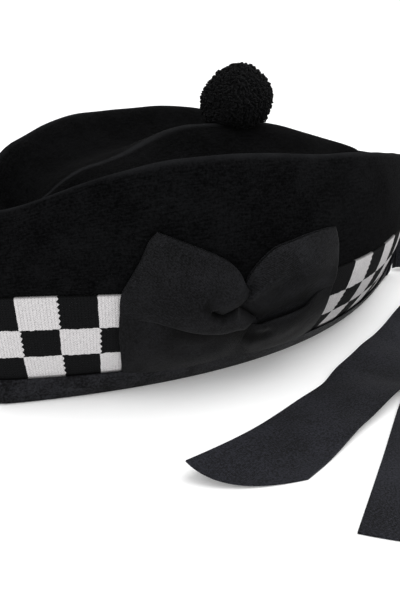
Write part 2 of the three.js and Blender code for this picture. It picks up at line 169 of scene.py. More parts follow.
# The columns of the table at a length along the profile, as a dictionary of arrays in millimetres.
def sectionAlong(length):
    read = [smoothRead(profileLengths, column, length) for column in sectionRows.T]
    return {
        "z": read[0],
        "half": read[1] * cap["bellyWidth"] / 2,
        "front": read[2] * cap["frontReach"],
        "back": read[3] * cap["backReach"],
        "fullness": read[4],
        "lean": read[5],
        "dip": read[6],
        "ridge": read[7],
        "spread": np.clip(read[1] / sectionRows[lipRow, 1], 0, 1),
    }


sideLengths = np.linspace(0, lipLength, 600)
sideHeights = sectionAlong(sideLengths)["z"]


def sectionAt(z):
    return sectionAlong(np.interp(z, sideHeights, sideLengths))


# A section made smaller by a wall, which is thicker at the two points.
def insetSection(section, wall):
    smaller = dict(section)
    for key, share in (("half", 1), ("front", cap["pointWall"]), ("back", cap["pointWall"])):
        smaller[key] = section[key] - wall * share
    return smaller


# How much wider a wall is when it is measured level, because it leans.
def levelFactor(z, reach=3):
    low = np.maximum(z - reach, 0)
    high = np.minimum(z + reach, cap["bandTop"])
    slope = (sectionAt(high)["half"] - sectionAt(low)["half"]) / (high - low)
    return np.sqrt(1 + slope * slope)


# Mean of five straight readings of the top line, which rounds its corners.
def readTopLine(along, column):
    steps = np.linspace(-1, 1, 5) * cap["topRounding"]
    readings = [np.interp(along + step, topLine[:, 0], topLine[:, column]) for step in steps]
    return sum(readings) / len(readings)


# A point of a section at an angle: x runs with the cosine between the two reaches, y is the half
# width times a power of the sine, and z is the section's height moved by the fold of the top.
def sectionPoint(section, angle):
    along = np.cos(angle)
    sine = np.abs(np.sin(angle))
    half = (section["front"] + section["back"]) / 2
    middle = (section["back"] - section["front"]) / 2
    power = section["fullness"] + section["lean"] * along
    shape = np.sqrt((sine ** (2 * power) + cap["pointRound"] * sine ** 2) / (1 + cap["pointRound"]))
    side = np.where(np.sin(angle) < 0, -1, 1)
    over = np.maximum(section["z"] - cap["bandTop"], 0)
    deep = mix(cap["foldAtPoints"], 1, sine)
    nearRise = readTopLine(along, 1)
    farRise = readTopLine(along, 2)
    lipRise = mix((nearRise + farRise) / 2, np.where(side < 0, nearRise, farRise), section["spread"])
    z = section["z"] + over * (lipRise - 1)
    z = z - deep * cap["grooveDepth"] * section["dip"]
    z = z + deep * section["ridge"] * cap["ridgeSwing"] * readTopLine(along, 3)
    x = middle + half * along
    y = side * section["half"] * shape
    return np.stack(np.broadcast_arrays(x, y, z), axis=-1)


# A path of heights and insets carried round the sections of the cap.
def carried(path, columns):
    angles = np.linspace(0, 2 * math.pi, columns + 1)[None, :]
    z = path[:, :1]
    return sectionPoint(insetSection(sectionAt(z), path[:, 1:] * levelFactor(z)), angles)


# A point on the near wall at a place along the cap and a height.
def nearWall(x, z):
    section = sectionAt(z)
    half = (section["front"] + section["back"]) / 2
    middle = (section["back"] - section["front"]) / 2
    along = np.clip((x - middle) / half, -1, 1)
    return sectionPoint(section, -np.arccos(along))


# The same point moved out, square to the wall.
def besideWall(x, z, out, stepX=0.5, stepZ=4):
    ahead = nearWall(x + stepX, z) - nearWall(x - stepX, z)
    upwards = nearWall(x, z + stepZ) - nearWall(x, np.maximum(z - stepZ, 0))
    return nearWall(x, z) + unitVectors(np.cross(ahead, upwards)) * out[..., None]


# Corner numbers of the quads between the rows and columns of a grid; columns may close on themselves.
def gridFaces(rows, columns, closed=False, rowsClosed=False):
    lastRow = rows if rowsClosed else rows - 1
    lastColumn = columns if closed else columns - 1
    r, k = np.meshgrid(np.arange(lastRow), np.arange(lastColumn), indexing="ij")
    nextRow = (r + 1) % rows
    nextColumn = (k + 1) % columns
    corners = [(r, k), (r, nextColumn), (nextRow, nextColumn), (nextRow, k)]
    return np.stack([(row * columns + column).ravel() for row, column in corners], axis=1)


def gridNormals(grid):
    return unitVectors(np.cross(np.gradient(grid, axis=0), np.gradient(grid, axis=1)))


# A piece from points, faces and the coordinates of its pattern, given for each corner by uvFaces.
def makePiece(name, points, faces, uv, uvFaces, material, nodes, merge=False, shade=None):
    mesh = bpy.data.meshes.new(name)
    faces = faces if isinstance(faces, list) else faces.tolist()
    mesh.from_pydata(place(points.reshape(-1, 3)).tolist(), [], faces)
    layer = mesh.uv_layers.new(name="cloth")
    layer.data.foreach_set("uv", uv.reshape(-1, 2)[uvFaces].astype(np.float32).ravel())
    if shade is not None:
        mesh.attributes.new("shade", "FLOAT", "POINT").data.foreach_set("value", shade.astype(np.float32))
    if merge:
        shape = bmesh.new()
        shape.from_mesh(mesh)
        bmesh.ops.remove_doubles(shape, verts=shape.verts, dist=mergeGap)
        bmesh.ops.dissolve_degenerate(shape, edges=shape.edges, dist=mergeGap / 10)
        shape.to_mesh(mesh)
        shape.free()
    mesh.polygons.foreach_set("use_smooth", np.ones(len(mesh.polygons), dtype=bool))
    mesh.set_sharp_from_angle(angle=math.radians(sharpAngle))
    mesh.materials.append(material)
    piece = bpy.data.objects.new(name, mesh)
    bpy.context.scene.collection.objects.link(piece)
    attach(piece, "root")
    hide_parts(*nodes)
    print("made", name, len(mesh.polygons), "faces")
    return piece


# A ring-shaped piece: rows of points that close round the cap, with one more column in the pattern's
# coordinates than in the points, so that the pattern doesn't run back over the last column.
def makeRing(name, grid, uv, material, nodes, rowsClosed=False, merge=False):
    rows, columns = grid.shape[:2]
    faces = gridFaces(rows, columns, closed=True, rowsClosed=rowsClosed)
    uvRows = rows + 1 if rowsClosed else rows
    uvFaces = gridFaces(uvRows, columns + 1)
    return makePiece(name, grid, faces, uv, uvFaces.ravel(), material, nodes, merge)


# A sheet with a thickness: the grid is moved half of it to both sides along its normals, and a strip
# round the border joins the two. Its pattern follows the length of its middle column and acrossV.
def makeSheet(name, grid, thickness, acrossV, shade, material, nodes):
    rows, columns = grid.shape[:2]
    alongU = distances(grid[:, columns // 2])
    uv = np.stack(np.meshgrid(alongU, acrossV, indexing="ij"), axis=-1)
    lift = gridNormals(grid) * thickness / 2
    count = rows * columns
    numbers = np.arange(count).reshape(rows, columns)
    top = gridFaces(rows, columns)[:, ::-1]
    border = np.concatenate([numbers[:-1, 0], numbers[-1, :-1], numbers[:0:-1, -1], numbers[0, :0:-1]])
    after = np.roll(border, -1)
    rim = np.stack([after, border, border + count, after + count], axis=1)
    faces = np.concatenate([top, top[:, ::-1] + count, rim])
    points = np.concatenate([(grid + lift).reshape(-1, 3), (grid - lift).reshape(-1, 3)])
    shades = np.tile(shade.ravel(), 2)
    corners = (faces % count).ravel()
    return makePiece(name, points, faces, uv, corners, material, nodes, shade=shades), alongU[-1]


# A socket of a material's tree. Sums and products of such sockets and numbers add Math nodes.
class Wire:
    def __init__(self, tree, socket):
        self.tree = tree
        self.socket = socket

    # Any node: its type, its settings, then what goes into its sockets, by name or number.
    def node(self, kind, settings=None, inputs=None, out=0):
        made = self.tree.nodes.new(kind)
        for key, value in (settings or {}).items():
            setattr(made, key, value)
        for key, value in (inputs or {}).items():
            if isinstance(value, Wire):
                self.tree.links.new(value.socket, made.inputs[key])
            else:
                made.inputs[key].default_value = value
        return Wire(self.tree, made.outputs[out])

    def math(self, operation, *values):
        return self.node("ShaderNodeMath", {"operation": operation}, dict(enumerate(values)))

    def of(self, operation):
        return self.math(operation, self)


# Each operator adds one Math node. In its reflected form the number comes first.
def addOperator(name, operation):
    setattr(Wire, "__" + name + "__", lambda self, other: self.math(operation, self, other))
    setattr(Wire, "__r" + name + "__", lambda self, other: self.math(operation, other, self))


for name, operation in (("add", "ADD"), ("sub", "SUBTRACT"), ("mul", "MULTIPLY"), ("truediv", "DIVIDE")):
    addOperator(name, operation)


def fraction(value):
    return value - value.of("FLOOR")


def sineOf(value, pitch):
    return (value * (2 * math.pi / pitch)).of("SINE")


def smoothRange(value, low, high):
    settings = {"interpolation_type": "SMOOTHSTEP", "clamp": True}
    return value.node("ShaderNodeMapRange", settings, {"Value": value, "From Min": low, "From Max": high})


# Noise whose lumps have a size in the units of the coordinates.
def noise(at, size, detail=2.0, rough=0.5):
    inputs = {"Vector": at, "Scale": 1 / size, "Detail": detail, "Roughness": rough}
    return at.node("ShaderNodeTexNoise", {}, inputs)


def blend(share, first, second):
    settings = {"data_type": "RGBA", "blend_type": "MIX"}
    return share.node("ShaderNodeMix", settings, {0: share, 6: first, 7: second}, out=2)


def scaled(colour, factor):
    return colour.node("ShaderNodeVectorMath", {"operation": "SCALE"}, {0: colour, "Scale": factor})


# Painted shade and painted highlight at a point, read from the mesh's shade attribute.
def meshShade(wire):
    return wire.node("ShaderNodeAttribute", {"attribute_name": "shade"}, out=2)


def grey(value, tint=(1, 1, 1)):
    return (value * tint[0], value * tint[1], value * tint[2], 1)


# A cloth material. paint() gets the two sets of coordinates and gives colour, tone and relief. The
# roughness is "rough" where the tone is 0 and changes by "roughChange" where it is 1.
def clothMaterial(name, look, paint):
    material = bpy.data.materials.new(name)
    material.use_nodes = True
    tree = material.node_tree
    shader = tree.nodes["Principled BSDF"]
    start = Wire(tree, None)
    inObject = start.node("ShaderNodeTexCoord", out=3)
    onCloth = start.node("ShaderNodeUVMap", {"uv_map": "cloth"})
    parts = onCloth.node("ShaderNodeSeparateXYZ", {}, {0: onCloth}).socket.node.outputs
    colour, tone, relief = paint(inObject, Wire(tree, parts[0]), Wire(tree, parts[1]))
    roughness = tone * look["roughChange"] + look["rough"]
    heights = {"Strength": 1.0, "Distance": look["relief"] * unit, "Height": relief}
    bump = start.node("ShaderNodeBump", {}, heights)
    for wire, key in ((colour, "Base Color"), (roughness, "Roughness"), (bump, "Normal")):
        tree.links.new(wire.socket, shader.inputs[key])
    plain = {"Specular IOR Level": "gloss", "Sheen Weight": "sheen", "Sheen Roughness": "sheenSpread",
             "Sheen Tint": "sheenTint"}
    for key, name in plain.items():
        shader.inputs[key].default_value = look[name]
    return material


# Sizes of noise in the looks are in metres.
crownLook = {
    "dark": grey(0.0010, (1, 1.02, 1.10)),
    "light": grey(0.0054, (1, 1.03, 1.12)),
    "edge": grey(0.0125, (1, 1.03, 1.12)),  # painted highlight along the lips and the ridge
    "highlightShare": 1.2,
    "highlightWidths": (4.2, 5),   # of the painted highlight along the lips and along the ridge
    "paintedTopShade": 0.62,          # painted shade: how light the folded top is painted beside the sides
    "topWidth": 7,            # of the change behind the lip
    "toneRange": (0.37, 0.64),
    "fuzzSize": 0.0011,
    "lumpSize": 0.004,
    "cloudSize": 0.02,
    "rough": 0.96,
    "roughChange": -0.06,
    "relief": 0.45,
    "gloss": 0.012,
    "sheen": 0.004,
    "sheenSpread": 0.45,
    "sheenTint": grey(0.9),
    "streakLength": 6,        # of the milled knit's rows
    "streakWidth": 1.0,
}
crownSizes = {
    "columns": 420,
    "outerRows": 112,
    "innerRows": 34,
    "tuck": 0.9,              # how far the foot draws in at the seam
    "tuckHeight": 1.3,
    "unevenness": 0.55,
    "longWave": 62,
    "shortWave": 24,
    "slopeStep": 0.4,         # over which the slope of the profile is measured
}


# The wool: fuzz, soft clouds and rows of the knit as streaks, with painted shade on the folded top and a
# painted highlight along the lips and the ridge. v is the length along the profile.
def paintCrown(inObject, u, v):
    look = crownLook
    fuzz = noise(inObject, look["fuzzSize"], 4.0, 0.65)
    cloud = noise(inObject, look["cloudSize"], 3.0, 0.6)
    along = {0: u / look["streakLength"], 1: v / look["streakWidth"]}
    streaks = noise(u.node("ShaderNodeCombineXYZ", {}, along), 1, 3.0, 0.6)
    tone = smoothRange(fuzz * 0.45 + cloud * 0.25 + streaks * 0.3, *look["toneRange"])
    # Painted shade: the folded top is painted darker than the sides.
    onTop = smoothRange(v, lipLength, lipLength + look["topWidth"])
    colour = scaled(blend(tone, look["dark"], look["light"]), 1 - onTop * (1 - look["paintedTopShade"]))
    # Painted highlight: the colour is lightened along the lips and along the ridge.
    lipWidth, ridgeWidth = look["highlightWidths"]
    lip = 1 - smoothRange((v - lipLength).of("ABSOLUTE"), 0.3, lipWidth)
    ridge = smoothRange(v, ridgeLength - ridgeWidth, ridgeLength - 1)
    edge = lip.math("MAXIMUM", lip, ridge)
    colour = blend(edge * cloud * look["highlightShare"], colour, look["edge"])
    return colour, tone, fuzz * 0.8 + streaks * 0.35 + noise(inObject, look["lumpSize"]) * 0.4


def foldedHeight(section):
    return section["z"] - section["dip"] * cap["grooveDepth"]


# The crown: rows of the inner wall from the ridge down to the foot, then of the outer wall from the
# foot up to the ridge. The outer wall follows the sections and is moved along its normals by gentle
# waves. The inner wall is the profile moved in, square to its line, by the wall.
def buildCrown():
    sizes = crownSizes
    wall = cap["crownWall"]
    angles = np.linspace(0, 2 * math.pi, sizes["columns"] + 1)[None, :]
    footLength = np.interp(cap["bandTop"] + cap["seamGap"] / 2, sideHeights, sideLengths)
    outerLengths = np.linspace(0, 1, sizes["outerRows"]) ** 1.08
    outerLengths = mix(footLength, ridgeLength, outerLengths)[:, None]
    seam = np.exp(-((outerLengths - footLength) / sizes["tuckHeight"]) ** 2)
    outer = sectionPoint(insetSection(sectionAlong(outerLengths), sizes["tuck"] * seam), angles)
    fade = smoothStep(0, 9, outerLengths - footLength) * smoothStep(0, 22, ridgeLength - outerLengths)
    waves = ripple(outer, sizes["longWave"], 3) + 0.35 * ripple(outer, sizes["shortWave"], 8)
    outer = outer - gridNormals(outer) * (waves * fade * sizes["unevenness"])[..., None]
    innerLengths = np.linspace(ridgeLength, footLength, sizes["innerRows"])[:, None]
    line = sectionAlong(innerLengths)
    before = sectionAlong(innerLengths - sizes["slopeStep"])
    after = sectionAlong(np.minimum(innerLengths + sizes["slopeStep"], ridgeLength))
    rise = foldedHeight(after) - foldedHeight(before)
    run = after["half"] - before["half"]
    inward = wall * rise / np.hypot(rise, run)
    upward = wall * run / np.hypot(rise, run)
    inward[0], upward[0], upward[-1] = 0, -wall, 0
    line["z"] = line["z"] + upward
    half = np.maximum(line["half"] - inward, 0)
    line = insetSection(line, wall)
    line["half"] = half
    grid = np.concatenate([sectionPoint(line, angles), outer])
    lengths = np.concatenate([innerLengths, outerLengths])
    uv = np.stack(np.broadcast_arrays(distances(grid), lengths), axis=-1)
    wool = clothMaterial("milled_wool", crownLook, paintCrown)
    makeRing("crown_wool", grid[:, :-1], uv, wool, ["crown"], merge=True)


print("crown")
buildCrown()


bandLook = {
    "white": (0.58, 0.565, 0.57, 1),
    "whiteShade": (0.36, 0.35, 0.355, 1),
    "black": grey(0.0012, (1, 1.03, 1.12)),
    "blackLight": grey(0.0056, (1, 1.03, 1.12)),
    "relief": 0.35,
    "gloss": 0.05,
    "sheen": 0.012,
    "sheenSpread": 0.5,
    "sheenTint": grey(0.9),
    "checkWidth": 17.16,       # at the top of the band
    "firstCheck": 1.07,        # how far the first corner of the checks lies from the front point
    # where the knit is stretched: distances from the front point and how far the checks lie back there
    "stretchAt": [0, 18, 66, 150],
    "stretch": [0, 0, 3.1, 0],
    "lowLine": 25,             # heights between the three rows of checks
    "highLine": 38.5,
    "toothPitch": 2.75,        # stitches that run over the upright edge of a white check
    "toothDepth": 0.055,
    "stitchesPerCheck": 12,
    "stitchHeight": 1.2,
    "stitchSlant": 1.1,
    "toneRange": (0.32, 0.68),
    "grainSize": 0.0011,
    "rough": 0.88,
    "roughChange": 0.1,
}
bandSizes = {
    "columns": 400,
    "outerRows": 44,
    "innerRows": 12,
    "foot": 1.3,
    "edgeOutside": 0.9,        # how far below the top its rounding starts
    "edgeInside": 1.5,
    # the rounding: distances below the top and in from the outside
    "topEdge": [(0.45, 0.04), (0.12, 0.2), (0, 0.6), (0, 1.6), (0.5, 2.2)],
}


# 1 in every other unit of a value, 0 in the rest.
def oddUnit(value):
    rest = fraction(value * 0.5)
    return rest.math("GREATER_THAN", rest, 0.5)


# The checks: u counts them round the cap and v is the height. The edges waver a little, and stitches
# run over the upright ones as teeth. Painted shade darkens the band at its two seams, next to the binding
# and the crown.
def paintBand(inObject, u, v):
    look = bandLook
    wobble = noise(inObject, 0.0024) - 0.5
    height = v + wobble * 1.4
    row = height.math("GREATER_THAN", height, look["lowLine"])
    row = row + height.math("GREATER_THAN", height, look["highLine"])
    point = 1 - (fraction(v / look["toothPitch"]) * 2 - 1).of("ABSOLUTE")
    clean = u + row + wobble * 0.05
    uneven = noise(inObject, 0.007) + 0.5
    white = 1 - oddUnit(clean)
    spilled = 1 - oddUnit(clean - point * uneven * look["toothDepth"])
    isWhite = white.math("MAXIMUM", white, spilled)
    slant = (fraction(u * look["stitchesPerCheck"]) - 0.5).of("ABSOLUTE")
    loops = sineOf(v / look["stitchHeight"] + slant * look["stitchSlant"], 1) * 0.5 + 0.5
    between = smoothRange(0.5 - slant, 0.0, 0.16)
    relief = loops * 0.5 + between * 0.35 + noise(inObject, 0.0007, 3.0) * 0.5
    grain = noise(inObject, look["grainSize"], 3.0, 0.65)
    # The tone follows the random grain and, as painted shade, darkens the hollows of the stitches.
    shade = smoothRange(relief * 0.4 + grain * 0.6, *look["toneRange"])
    whiteWool = blend(shade, look["whiteShade"], look["white"])
    blackWool = blend(shade, look["black"], look["blackLight"])
    # Painted shade along the seams, next to the binding below and the crown above.
    seamShade = smoothRange(v, 13.3, 14.9) * (1 - smoothRange(v, 53.7, 54.8))
    return scaled(blend(isWhite, blackWool, whiteWool), seamShade * 0.65 + 0.35), grain, relief


# The band: a closed profile that goes up the outside, over a rounded top and down the inside, carried
# round the sections of the cap. u is the distance from the front point, less the stretch, in checks.
def buildBand():
    sizes = bandSizes
    top = cap["bandTop"] - cap["seamGap"] / 2
    outside = np.linspace(sizes["foot"], top - sizes["edgeOutside"], sizes["outerRows"])
    inside = np.linspace(top - sizes["edgeInside"], sizes["foot"], sizes["innerRows"])
    edge = [(top - below, inset) for below, inset in sizes["topEdge"]]
    path = np.array([(z, 0) for z in outside] + edge + [(z, cap["bandWall"]) for z in inside])
    grid = carried(path, sizes["columns"])
    around = distances(grid)
    half = around[:, sizes["columns"] // 2][:, None]
    distance = (around / half - 1) * half.max()
    stretch = np.interp(np.abs(distance), bandLook["stretchAt"], bandLook["stretch"]) * np.sign(distance)
    u = (distance - stretch) / bandLook["checkWidth"] - bandLook["firstCheck"]
    uv = np.stack(np.broadcast_arrays(u, path[:, :1]), axis=-1)
    uv = np.concatenate([uv, uv[:1]])
    wool = clothMaterial("diced_knit", bandLook, paintBand)
    makeRing("diced_band", grid[:, :-1], uv, wool, ["dice_band"], rowsClosed=True)


print("diced band")
buildBand()


bindingLook = {
    "dark": grey(0.0016, (1, 1.02, 1.2)),
    "light": grey(0.0195, (1, 1.02, 1.2)),
    "relief": 0.22,
    "gloss": 0.05,
    "sheen": 0.006,
    "sheenSpread": 0.35,
    "sheenTint": grey(0.9),
    "ribPitch": 0.55,
    "toneRange": (0.37, 0.63),
    "speckSize": 0.0011,
    "cloudSize": 0.009,
    "rough": 0.62,
    "roughChange": -0.12,
}
bindingSizes = {
    "columns": 500,
    "flat": (0.030, 0.62),     # metres
}
# Height and distance in from the band's outside, round the folded ribbon.
bindingPath = np.array([
    (0.0, -0.1), (0.1, -0.55), (0.4, -0.95), (0.85, -1.2), (1.5, -1.3), (3.2, -1.4), (5.5, -1.45),
    (8.5, -1.42), (11, -1.36), (12.6, -1.3), (13.25, -1.2), (13.5, -0.85), (13.3, -0.45),
    (12.6, -0.34), (8, -0.32),
    (3, -0.32), (1.2, -0.32), (1.0, 0.0), (1.0, 2.4), (1.3, 2.72), (3, 2.72), (9.8, 2.72), (10.35, 2.85),
    (10.5, 3.2), (10.35, 3.55), (9.8, 3.68), (3, 3.68), (1.2, 3.6), (0.45, 3.3), (0.1, 2.9), (0.0, 2.4),
])


def paintBinding(inObject, u, v):
    look = bindingLook
    cloud = noise(inObject, look["cloudSize"], 3.0)
    speck = noise(inObject, look["speckSize"], 3.0, 0.7)
    tone = smoothRange(cloud * 0.3 + speck * 0.7, *look["toneRange"])
    relief = sineOf(u, look["ribPitch"]) * 0.25 + speck * 0.5
    return blend(tone, look["dark"], look["light"]), tone, relief


# The binding: the closed path of the folded ribbon, carried round the sections of the cap.
def buildBinding():
    grid = carried(bindingPath, bindingSizes["columns"])
    around = distances(grid)
    across = distances(np.concatenate([bindingPath, bindingPath[:1]]))[:, None]
    uv = np.stack(np.broadcast_arrays(np.concatenate([around, around[:1]]), across), axis=-1)
    ribbon = clothMaterial("binding_ribbon", bindingLook, paintBinding)
    return makeRing("rim_binding", grid[:, :-1], uv, ribbon, ["binding"], rowsClosed=True)


print("binding")
binding = buildBinding()


pompomLook = {
    "dark": grey(0.0012, (1, 1, 1.06)),
    "light": grey(0.0076, (1, 1.02, 1.12)),
    "relief": 0.3,
    "gloss": 0.07,
    "sheen": 0.03,
    "sheenSpread": 0.4,
    "sheenTint": grey(0.9, (0.95, 0.97, 1)),
    "toneRange": (0.35, 0.68),
    "fuzzSize": 0.0007,
    "twist": (9.0, 6.0),       # turns of the yarn, in radians for each millimetre
    "rough": 0.95,
    "roughChange": -0.05,
}
pompomSizes = {
    "radius": 18.4,
    "squash": 0.95,
    "coreRadius": 16.8,
    "coreCover": 0.6,          # how far the core covers the feet of the loops
    "coreRows": 23,
    "coreColumns": 44,
    "loops": 1750,
    "loopRings": 8,
    "loopWidth": 0.95,
    "widthRange": (0.8, 1.25),
    "loopHeight": 1.55,
    "heightRange": (0.6, 1.5),
    "scatter": 0.035,          # of the loops' places
    "lean": 0.28,
    "yarn": 0.5,
    "yarnSides": 5,
    "seat": 0.6,               # clearance over the crown
    "reach": 24,               # how far round the middle the crown's height is read
    "droop": 5,                # how far its wool hangs below the ridge, towards the front
    "droopRange": (4, -8),
    "unevenness": 0.018,
    "unevenLength": 13,
    "seed": 11,
    # directions in which the ball is fuller or flatter: the way, the amount and how wide it spreads
    "dents": [
        ((-0.419, 0.666, 0.616), -0.12, 0.12),
        ((0.780, -0.440, 0.439), 0.055, 0.12),
        ((0.360, 0.120, 0.925), 0.06, 0.07),
        ((-0.800, 0.100, -0.590), 0.09, 0.08),
    ],
}


# Height of the crown's top over a place near the pompom: rows of the profile on both sides are read
# at five stations along the cap, and the stations are read in between.
def crownHeight(x, y):
    stations = np.linspace(-pompomSizes["reach"], pompomSizes["reach"], 5)
    lastLength = profileLengths[lipRow + 2]
    section = sectionAlong(np.linspace(ridgeLength, lastLength, 60))
    half = (section["front"] + section["back"]) / 2
    middle = (section["back"] - section["front"]) / 2
    share = np.clip((x - stations[0]) / (stations[1] - stations[0]), 0, len(stations) - 1.001)
    left = np.floor(share).astype(int)
    lines = []
    for station in stations:
        angle = np.arccos(np.clip((station - middle) / half, -1, 1))
        near = sectionPoint(section, -angle)[:0:-1]
        points = np.concatenate([near, sectionPoint(section, angle)])
        lines.append(np.interp(y, points[:, 1], points[:, 2]))
    lines = np.stack(lines)
    low = np.take_along_axis(lines, left[None], axis=0)[0]
    high = np.take_along_axis(lines, left[None] + 1, axis=0)[0]
    return mix(low, high, share - left)


def paintPompom(inObject, u, v):
    look = pompomLook
    twist = (u * look["twist"][0] + v * look["twist"][1]).of("SINE")
    fuzz = noise(inObject, look["fuzzSize"], 3.0, 0.6)
    tone = smoothRange(fuzz, *look["toneRange"])
    return blend(tone, look["dark"], look["light"]), tone, fuzz * 0.7 + twist * 0.3


# The pompom: a plain core, and loops of yarn spread evenly over it. Each loop is a tube bent in a
# half ellipse that stands on the core, leaning a little, and turned at random about its own axis.
# The whole is made fuller or flatter by the dents, pressed down to its height and kept over the crown.
def buildPompom():
    sizes = pompomSizes
    random = np.random.default_rng(sizes["seed"])
    count, rings, sides = sizes["loops"], sizes["loopRings"], sizes["yarnSides"]
    perLoop = rings * sides
    order = np.arange(count)
    up = 1 - (2 * order + 1) / count
    turn = order * math.pi * (3 - math.sqrt(5))
    level = np.sqrt(1 - up * up)
    way = np.stack([level * np.cos(turn), level * np.sin(turn), up], axis=1)
    way = unitVectors(way + random.normal(size=way.shape) * sizes["scatter"])
    spin = unitVectors(np.cross(way, random.normal(size=way.shape)))
    lean = unitVectors(way + np.cross(way, spin) * random.normal(size=(count, 1)) * sizes["lean"])
    side = np.cross(lean, spin)
    bend = np.linspace(-0.1 * math.pi, 1.1 * math.pi, rings)[None, :, None, None]
    aboutYarn = (np.arange(sides) * 2 * math.pi / sides)[None, None, :, None]
    width = (sizes["loopWidth"] * random.uniform(*sizes["widthRange"], count))[:, None, None, None]
    height = (sizes["loopHeight"] * random.uniform(*sizes["heightRange"], count))[:, None, None, None]
    spin, side, lean, way = (part[:, None, None, :] for part in (spin, side, lean, way))
    middle = way * sizes["coreRadius"] + spin * width * np.cos(bend) + lean * height * np.sin(bend)
    outwards = spin * np.cos(bend) + lean * np.sin(bend)
    loops = middle + sizes["yarn"] * (outwards * np.cos(aboutYarn) + side * np.sin(aboutYarn))
    starts = (np.arange(count) * perLoop)[:, None, None]
    ends = np.array([range(sides)[::-1], range(perLoop - sides, perLoop)])
    faces = (gridFaces(rings, sides, closed=True)[None] + starts).reshape(-1, 4).tolist()
    caps = (ends[None] + starts).reshape(-1, sides).tolist()
    rows, columns = sizes["coreRows"], sizes["coreColumns"]
    v = (np.linspace(0, 1, rows + 2)[1:-1] * math.pi)[:, None]
    u = (np.arange(columns) / columns * 2 * math.pi)[None, :]
    ball = [np.sin(v) * np.cos(u), np.sin(v) * np.sin(u), -np.cos(v)]
    ball = np.stack(np.broadcast_arrays(*ball), axis=-1).reshape(-1, 3)
    ball = np.concatenate([ball, [[0, 0, -1], [0, 0, 1]]]) * (sizes["coreRadius"] + sizes["coreCover"])
    base = count * perLoop
    foot = base + rows * columns
    lastRow = foot - columns
    faces += (gridFaces(rows, columns, closed=True) + base).tolist()
    faces += [[base + (k + 1) % columns, base + k, foot] for k in range(columns)]
    faces += [[lastRow + k, lastRow + (k + 1) % columns, foot + 1] for k in range(columns)]
    faces += caps
    points = np.concatenate([loops.reshape(-1, 3), ball])
    ways = unitVectors(points)
    fullness = 1 + sizes["unevenness"] * ripple(ways * sizes["radius"], sizes["unevenLength"], 5)
    for way, amount, spread in sizes["dents"]:
        fullness = fullness + amount * np.exp((ways @ np.array(way) - 1) / spread)
    points = points * fullness[:, None] * np.array([1, 1, sizes["squash"]])
    middle = (np.array(pompomLow + pompomHigh) / 2 - origin) / unit
    middle[2] = pompomHigh.z / unit - sizes["radius"] * sizes["squash"]
    points = points + middle
    ridge = crownHeight(middle[:1], np.zeros(1))[0]
    hang = sizes["droop"] * smoothStep(*sizes["droopRange"], points[:, 0] - middle[0])
    lowest = np.maximum(crownHeight(points[:, 0], points[:, 1]) + sizes["seat"], ridge - hang)
    points[:, 2] = np.maximum(points[:, 2], lowest)
    corners = np.concatenate([np.array(face) for face in faces])
    uv = np.stack([points[:, 0], points[:, 2]], axis=1)
    wool = clothMaterial("pompom_wool", pompomLook, paintPompom)
    makePiece("wool_pompom", points, faces, uv, corners, wool, ["pompom"])


print("pompom")
buildPompom()


bowLook = {
    "dark": grey(0.0008, (1, 1.02, 1.18)),
    "light": grey(0.0098, (1, 1.02, 1.18)),
    "relief": 0.16,
    "gloss": 0.08,
    "sheen": 0.024,
    "sheenSpread": 0.4,
    "sheenTint": grey(0.9),
    "twillPitch": 0.9,
    "toneRange": (0.36, 0.64),
    "speckSize": 0.0008,
    "cloudSize": 0.012,
    "rough": 0.74,
    "roughChange": -0.1,
}
bowSizes = {
    "x": -50,
    "height": 40,
    "thickness": 0.8,
    "flat": (0.066, 0.112),    # metres
    "backLayer": 0.95,         # middle of the layer that lies on the cap
    "layerGap": 1.05,
    "edgeHeight": 2.35,
    "edgeSwell": 0.25,
    "endHeight": 2.7,
    "turn": 0.028,             # share of the length that the fold at the end takes
    "frontSteps": 96,
    "turnSteps": 12,
    "backSteps": 16,
    "acrossSteps": 150,
    "upperRow": 7.5,           # where the upper part starts in "rows"
    "measuredStep": 70,        # along, where the pattern across the ribbon is measured
}
